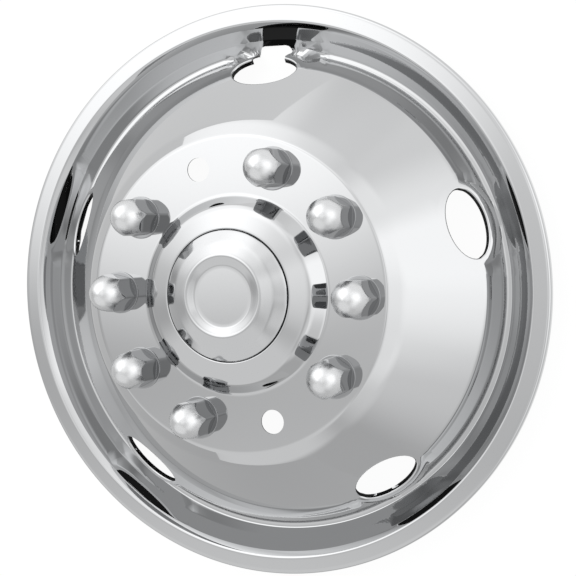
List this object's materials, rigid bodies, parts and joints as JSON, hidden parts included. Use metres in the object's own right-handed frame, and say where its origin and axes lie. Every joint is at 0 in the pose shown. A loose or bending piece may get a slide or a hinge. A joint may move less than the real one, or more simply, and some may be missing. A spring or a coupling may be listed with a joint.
{
  "type": "truck wheel simulator",
  "caption": "Polished stainless cover for a dual-wheel truck wheel, with nut covers, open stud holes, hand holes, a valve notch and a pop-out centre cap.",
  "frame": {"origin": "on the wheel's axis, on the plane that the channel rests on", "axes": "+Z along the wheel's axis towards the outer face, +Y through the valve notch, +X through the first nut cover"},
  "size_m": [0.5126, 0.5126, 0.1305],
  "materials": {
    "liner_steel": "mirror polished stainless sheet",
    "cap_steel": "mirror polished stainless sheet",
    "cover_steel": "polished stainless, a little satin on the rounded ends",
    "spring_steel": "plain spring steel"
  },
  "bodies": {
    "root": {"liner": "liner_steel", "centre_cap": "cap_steel", "cap_spring_ring": "spring_steel", "nut_cover_1": "cover_steel", "nut_cover_2": "cover_steel", "nut_cover_3": "cover_steel", "nut_cover_4": "cover_steel", "nut_cover_5": "cover_steel", "nut_cover_6": "cover_steel", "nut_cover_7": "cover_steel", "nut_cover_8": "cover_steel", "push_ring_1": "spring_steel", "push_ring_2": "spring_steel", "push_ring_3": "spring_steel", "push_ring_4": "spring_steel", "push_ring_5": "spring_steel", "push_ring_6": "spring_steel", "push_ring_7": "spring_steel", "push_ring_8": "spring_steel"}
  },
  "joints": []
}
